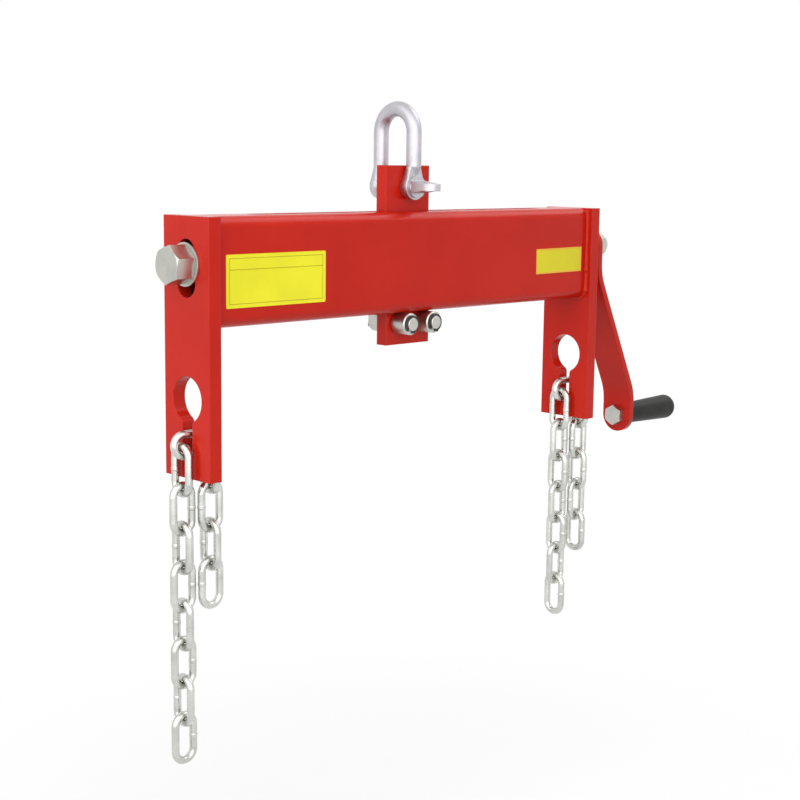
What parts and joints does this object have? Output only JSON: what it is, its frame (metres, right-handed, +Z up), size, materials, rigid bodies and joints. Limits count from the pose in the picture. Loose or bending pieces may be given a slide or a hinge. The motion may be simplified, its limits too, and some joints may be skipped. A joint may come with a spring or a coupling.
{
  "type": "engine load leveler",
  "caption": "Lifting beam whose crank screw slides a shackle trolley along a slotted tube, with chains hung from keyholed end plates to tilt a load.",
  "frame": {"origin": "inner top of the shackle's crown, where the hook bears", "axes": "+X along the beam towards the crank, +Z up, +Y to the back"},
  "size_m": [0.5778, 0.0668, 0.4679],
  "materials": {
    "red_paint": "gloss",
    "zinc": "satin",
    "black_oxide": "satin",
    "grip_plastic": "matte",
    "label_yellow": "gloss"
  },
  "bodies": {
    "beam": {"beam_tube": "red_paint", "left_end_plate": "red_paint", "right_end_plate": "red_paint", "left_weld": "red_paint", "right_weld": "red_paint", "left_label": "label_yellow", "right_label": "label_yellow"},
    "crank": {"lead_screw": "zinc", "left_washer": "zinc", "right_washer": "zinc", "collar_nut": "zinc", "crank_arm": "red_paint", "crank_washer": "zinc", "crank_nut": "zinc", "grip_bolt": "zinc", "grip_nut": "zinc"},
    "grip": {"grip_sleeve": "grip_plastic", "grip_cap": "grip_plastic"},
    "trolley": {"hanger_plate": "red_paint", "threaded_block": "red_paint", "roller_plate": "red_paint", "block_welds": "red_paint", "roller_pins": "zinc", "roller_clips": "black_oxide"},
    "shackle": {"shackle_bow": "zinc", "shackle_pin": "zinc"},
    "front_left_roller": {"front_left_roller": "zinc"},
    "front_right_roller": {"front_right_roller": "zinc"},
    "rear_left_roller": {"rear_left_roller": "zinc"},
    "rear_right_roller": {"rear_right_roller": "zinc"},
    "left_slot_link": {"left_slot_link": "zinc"},
    "left_outer_link_1": {"left_outer_link_1": "zinc"},
    "left_outer_link_2": {"left_outer_link_2": "zinc"},
    "left_outer_link_3": {"left_outer_link_3": "zinc"},
    "left_outer_link_4": {"left_outer_link_4": "zinc"},
    "left_outer_link_5": {"left_outer_link_5": "zinc"},
    "left_outer_link_6": {"left_outer_link_6": "zinc"},
    "left_outer_link_7": {"left_outer_link_7": "zinc"},
    "left_outer_link_8": {"left_outer_link_8": "zinc"},
    "left_inner_link_1": {"left_inner_link_1": "zinc"},
    "left_inner_link_2": {"left_inner_link_2": "zinc"},
    "left_inner_link_3": {"left_inner_link_3": "zinc"},
    "left_inner_link_4": {"left_inner_link_4": "zinc"},
    "right_slot_link": {"right_slot_link": "zinc"},
    "right_outer_link_1": {"right_outer_link_1": "zinc"},
    "right_outer_link_2": {"right_outer_link_2": "zinc"},
    "right_outer_link_3": {"right_outer_link_3": "zinc"},
    "right_outer_link_4": {"right_outer_link_4": "zinc"},
    "right_outer_link_5": {"right_outer_link_5": "zinc"},
    "right_inner_link_1": {"right_inner_link_1": "zinc"},
    "right_inner_link_2": {"right_inner_link_2": "zinc"},
    "right_inner_link_3": {"right_inner_link_3": "zinc"},
    "right_inner_link_4": {"right_inner_link_4": "zinc"},
    "right_inner_link_5": {"right_inner_link_5": "zinc"},
    "right_inner_link_6": {"right_inner_link_6": "zinc"},
    "right_inner_link_7": {"right_inner_link_7": "zinc"}
  },
  "joints": [
    {"name": "crank_turn", "type": "hinge", "parent": "beam", "child": "crank", "pos_m": [0, -0.0067, -0.1036], "axis": [1, 0, 0], "range_deg": [-22320, 22320]},
    {"name": "trolley_slide", "type": "slide", "parent": "beam", "child": "trolley", "axis": [1, 0, 0], "range_m": [-0.124, 0.124]},
    {"name": "grip_spin", "type": "hinge", "parent": "crank", "child": "grip", "pos_m": [0.2809, -0.0067, -0.2582], "axis": [1, 0, 0], "continuous": true},
    {"name": "shackle_swing", "type": "hinge", "parent": "trolley", "child": "shackle", "pos_m": [0, 0, -0.0525], "axis": [0, 1, 0], "range_deg": [-100, 100]},
    {"name": "front_left_roller_roll", "type": "hinge", "parent": "trolley", "child": "front_left_roller", "pos_m": [-0.0087, -0.0067, -0.1556], "axis": [0, 1, 0], "continuous": true},
    {"name": "front_right_roller_roll", "type": "hinge", "parent": "trolley", "child": "front_right_roller", "pos_m": [0.0163, -0.0067, -0.1556], "axis": [0, 1, 0], "continuous": true},
    {"name": "rear_left_roller_roll", "type": "hinge", "parent": "trolley", "child": "rear_left_roller", "pos_m": [-0.0087, -0.0067, -0.1556], "axis": [0, 1, 0], "continuous": true},
    {"name": "rear_right_roller_roll", "type": "hinge", "parent": "trolley", "child": "rear_right_roller", "pos_m": [0.0163, -0.0067, -0.1556], "axis": [0, 1, 0], "continuous": true},
    {"name": "left_slot_link_swivel", "type": "hinge", "parent": "beam", "child": "left_slot_link", "pos_m": [-0.199, -0.0083, -0.2274], "axis": [0, 0, 1], "range_deg": [0, 12]},
    {"name": "left_outer_link_1_swing", "type": "hinge", "parent": "left_slot_link", "child": "left_outer_link_1", "pos_m": [-0.20964, -0.00643, -0.23559], "axis": [1, 0, 0], "range_deg": [-20, 20]},
    {"name": "left_outer_link_2_swing", "type": "hinge", "parent": "left_outer_link_1", "child": "left_outer_link_2", "pos_m": [-0.20964, -0.00643, -0.26114], "axis": [0, 1, 0], "range_deg": [0, 30]},
    {"name": "left_outer_link_3_swing", "type": "hinge", "parent": "left_outer_link_2", "child": "left_outer_link_3", "pos_m": [-0.20964, -0.00643, -0.28864], "axis": [1, 0, 0], "range_deg": [-20, 20]},
    {"name": "left_outer_link_4_swing", "type": "hinge", "parent": "left_outer_link_3", "child": "left_outer_link_4", "pos_m": [-0.20964, -0.00643, -0.31614], "axis": [0, 1, 0], "range_deg": [0, 30]},
    {"name": "left_outer_link_5_swing", "type": "hinge", "parent": "left_outer_link_4", "child": "left_outer_link_5", "pos_m": [-0.20964, -0.00643, -0.34364], "axis": [1, 0, 0], "range_deg": [-20, 20]},
    {"name": "left_outer_link_6_swing", "type": "hinge", "parent": "left_outer_link_5", "child": "left_outer_link_6", "pos_m": [-0.20964, -0.00643, -0.37114], "axis": [0, 1, 0], "range_deg": [0, 30]},
    {"name": "left_outer_link_7_swing", "type": "hinge", "parent": "left_outer_link_6", "child": "left_outer_link_7", "pos_m": [-0.20964, -0.00643, -0.39864], "axis": [1, 0, 0], "range_deg": [-20, 20]},
    {"name": "left_outer_link_8_swing", "type": "hinge", "parent": "left_outer_link_7", "child": "left_outer_link_8", "pos_m": [-0.20964, -0.00643, -0.42614], "axis": [0, 1, 0], "range_deg": [0, 30]},
    {"name": "left_inner_link_1_swing", "type": "hinge", "parent": "left_slot_link", "child": "left_inner_link_1", "pos_m": [-0.18836, -0.01018, -0.23559], "axis": [1, 0, 0], "range_deg": [-20, 20]},
    {"name": "left_inner_link_2_swing", "type": "hinge", "parent": "left_inner_link_1", "child": "left_inner_link_2", "pos_m": [-0.18836, -0.01018, -0.26114], "axis": [0, -1, 0], "range_deg": [0, 30]},
    {"name": "left_inner_link_3_swing", "type": "hinge", "parent": "left_inner_link_2", "child": "left_inner_link_3", "pos_m": [-0.18836, -0.01018, -0.28864], "axis": [1, 0, 0], "range_deg": [-20, 20]},
    {"name": "left_inner_link_4_swing", "type": "hinge", "parent": "left_inner_link_3", "child": "left_inner_link_4", "pos_m": [-0.18836, -0.01018, -0.31614], "axis": [0, -1, 0], "range_deg": [0, 30]},
    {"name": "right_slot_link_swivel", "type": "hinge", "parent": "beam", "child": "right_slot_link", "pos_m": [0.206, -0.0083, -0.2274], "axis": [0, 0, 1], "range_deg": [0, 12]},
    {"name": "right_outer_link_1_swing", "type": "hinge", "parent": "right_slot_link", "child": "right_outer_link_1", "pos_m": [0.21664, -0.01018, -0.23559], "axis": [1, 0, 0], "range_deg": [-20, 20]},
    {"name": "right_outer_link_2_swing", "type": "hinge", "parent": "right_outer_link_1", "child": "right_outer_link_2", "pos_m": [0.21664, -0.01018, -0.26114], "axis": [0, -1, 0], "range_deg": [0, 30]},
    {"name": "right_outer_link_3_swing", "type": "hinge", "parent": "right_outer_link_2", "child": "right_outer_link_3", "pos_m": [0.21664, -0.01018, -0.28864], "axis": [1, 0, 0], "range_deg": [-20, 20]},
    {"name": "right_outer_link_4_swing", "type": "hinge", "parent": "right_outer_link_3", "child": "right_outer_link_4", "pos_m": [0.21664, -0.01018, -0.31614], "axis": [0, -1, 0], "range_deg": [0, 30]},
    {"name": "right_outer_link_5_swing", "type": "hinge", "parent": "right_outer_link_4", "child": "right_outer_link_5", "pos_m": [0.21664, -0.01018, -0.34364], "axis": [1, 0, 0], "range_deg": [-20, 20]},
    {"name": "right_inner_link_1_swing", "type": "hinge", "parent": "right_slot_link", "child": "right_inner_link_1", "pos_m": [0.19536, -0.00643, -0.23559], "axis": [1, 0, 0], "range_deg": [-20, 20]},
    {"name": "right_inner_link_2_swing", "type": "hinge", "parent": "right_inner_link_1", "child": "right_inner_link_2", "pos_m": [0.19536, -0.00643, -0.26114], "axis": [0, 1, 0], "range_deg": [0, 30]},
    {"name": "right_inner_link_3_swing", "type": "hinge", "parent": "right_inner_link_2", "child": "right_inner_link_3", "pos_m": [0.19536, -0.00643, -0.28864], "axis": [1, 0, 0], "range_deg": [-20, 20]},
    {"name": "right_inner_link_4_swing", "type": "hinge", "parent": "right_inner_link_3", "child": "right_inner_link_4", "pos_m": [0.19536, -0.00643, -0.31614], "axis": [0, 1, 0], "range_deg": [0, 30]},
    {"name": "right_inner_link_5_swing", "type": "hinge", "parent": "right_inner_link_4", "child": "right_inner_link_5", "pos_m": [0.19536, -0.00643, -0.34364], "axis": [1, 0, 0], "range_deg": [-20, 20]},
    {"name": "right_inner_link_6_swing", "type": "hinge", "parent": "right_inner_link_5", "child": "right_inner_link_6", "pos_m": [0.19536, -0.00643, -0.37114], "axis": [0, 1, 0], "range_deg": [0, 30]},
    {"name": "right_inner_link_7_swing", "type": "hinge", "parent": "right_inner_link_6", "child": "right_inner_link_7", "pos_m": [0.19536, -0.00643, -0.39864], "axis": [1, 0, 0], "range_deg": [-20, 20]}
  ],
  "couplings": [
    {"joint": "trolley_slide", "follows": "crank_turn", "m_per_rad": -0.00031831},
    {"joint": "front_left_roller_roll", "follows": "crank_turn", "ratio": 0.038351},
    {"joint": "front_right_roller_roll", "follows": "crank_turn", "ratio": 0.038351},
    {"joint": "rear_left_roller_roll", "follows": "crank_turn", "ratio": 0.038351},
    {"joint": "rear_right_roller_roll", "follows": "crank_turn", "ratio": 0.038351}
  ]
}
